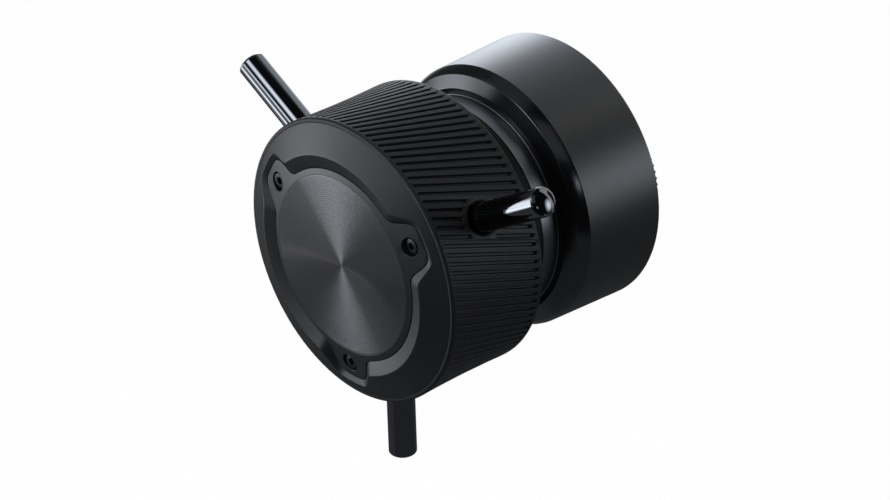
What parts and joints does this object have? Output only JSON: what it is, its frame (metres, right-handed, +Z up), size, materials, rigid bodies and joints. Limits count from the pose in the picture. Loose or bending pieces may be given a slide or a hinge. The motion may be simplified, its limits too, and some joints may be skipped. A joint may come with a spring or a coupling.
{
  "type": "focus demand",
  "caption": "Round focus control for a pan bar: a rubber-gripped knob with three finger spokes turns on a housing with a toothed rear mount.",
  "frame": {"origin": "centre of the rosette's M6 thread, at its mouth", "axes": "+Y out of the rear along the rosette's axis, parallel to the knob axis; +Z up; +X to the right as seen from the front"},
  "size_m": [0.1065, 0.0809, 0.0964],
  "materials": {
    "anodised_black": "satin black anodised",
    "spun_disc": "spun, black anodised",
    "rubber": "moulded, matt",
    "black_chrome": "polished black chrome",
    "black_screw": "black oxide",
    "steel": "ground",
    "brass": "pressed",
    "felt": "felt",
    "board": "solder mask",
    "chip": "moulded",
    "ceramic": "ceramic",
    "socket_black": "moulded",
    "magnet": "nickel plated"
  },
  "bodies": {
    "base": {"housing_shell": "anodised_black", "bearing_carrier": "anodised_black", "carrier_screws": "steel", "back_cover": "anodised_black", "cover_screws": "black_screw", "rosette": "anodised_black", "rosette_boss": "anodised_black", "rosette_screws": "black_screw", "thread_insert": "steel", "front_bearing_outer_ring": "steel", "rear_bearing_outer_ring": "steel", "preload_spring": "steel", "felt_ring": "felt", "circuit_board": "board", "board_screws": "steel", "encoder_chip": "chip", "controller_chip": "chip", "board_capacitors": "ceramic", "usb_shell_upper": "steel", "usb_shell_lower": "steel", "usb_tongue_upper": "socket_black", "usb_tongue_lower": "socket_black"},
    "knob": {"knob_core": "anodised_black", "knob_collar": "anodised_black", "collar_screws": "black_screw", "grip_sleeve": "rubber", "face_plate": "anodised_black", "face_disc": "spun_disc", "face_screws": "black_screw", "spoke_right": "black_chrome", "spoke_left": "black_chrome", "spoke_lower": "black_chrome", "shaft": "steel", "hub_screws": "steel", "inner_spacer": "steel", "retaining_ring": "steel", "magnet_holder": "brass", "magnet": "magnet", "front_bearing_inner_ring": "steel", "rear_bearing_inner_ring": "steel"},
    "front_rollers": {"front_bearing_cage": "brass", "front_bearing_balls": "steel"},
    "rear_rollers": {"rear_bearing_cage": "brass", "rear_bearing_balls": "steel"}
  },
  "joints": [
    {"name": "knob_turn", "type": "hinge", "parent": "base", "child": "knob", "pos_m": [-0.0108, -0.04, 0], "axis": [0, 1, 0], "continuous": true},
    {"name": "front_roller_turn", "type": "hinge", "parent": "base", "child": "front_rollers", "pos_m": [-0.0108, -0.04, 0], "axis": [0, 1, 0], "continuous": true},
    {"name": "rear_roller_turn", "type": "hinge", "parent": "base", "child": "rear_rollers", "pos_m": [-0.0108, -0.04, 0], "axis": [0, 1, 0], "continuous": true}
  ],
  "couplings": [
    {"joint": "front_roller_turn", "follows": "knob_turn", "ratio": 0.4279},
    {"joint": "rear_roller_turn", "follows": "knob_turn", "ratio": 0.4279}
  ]
}
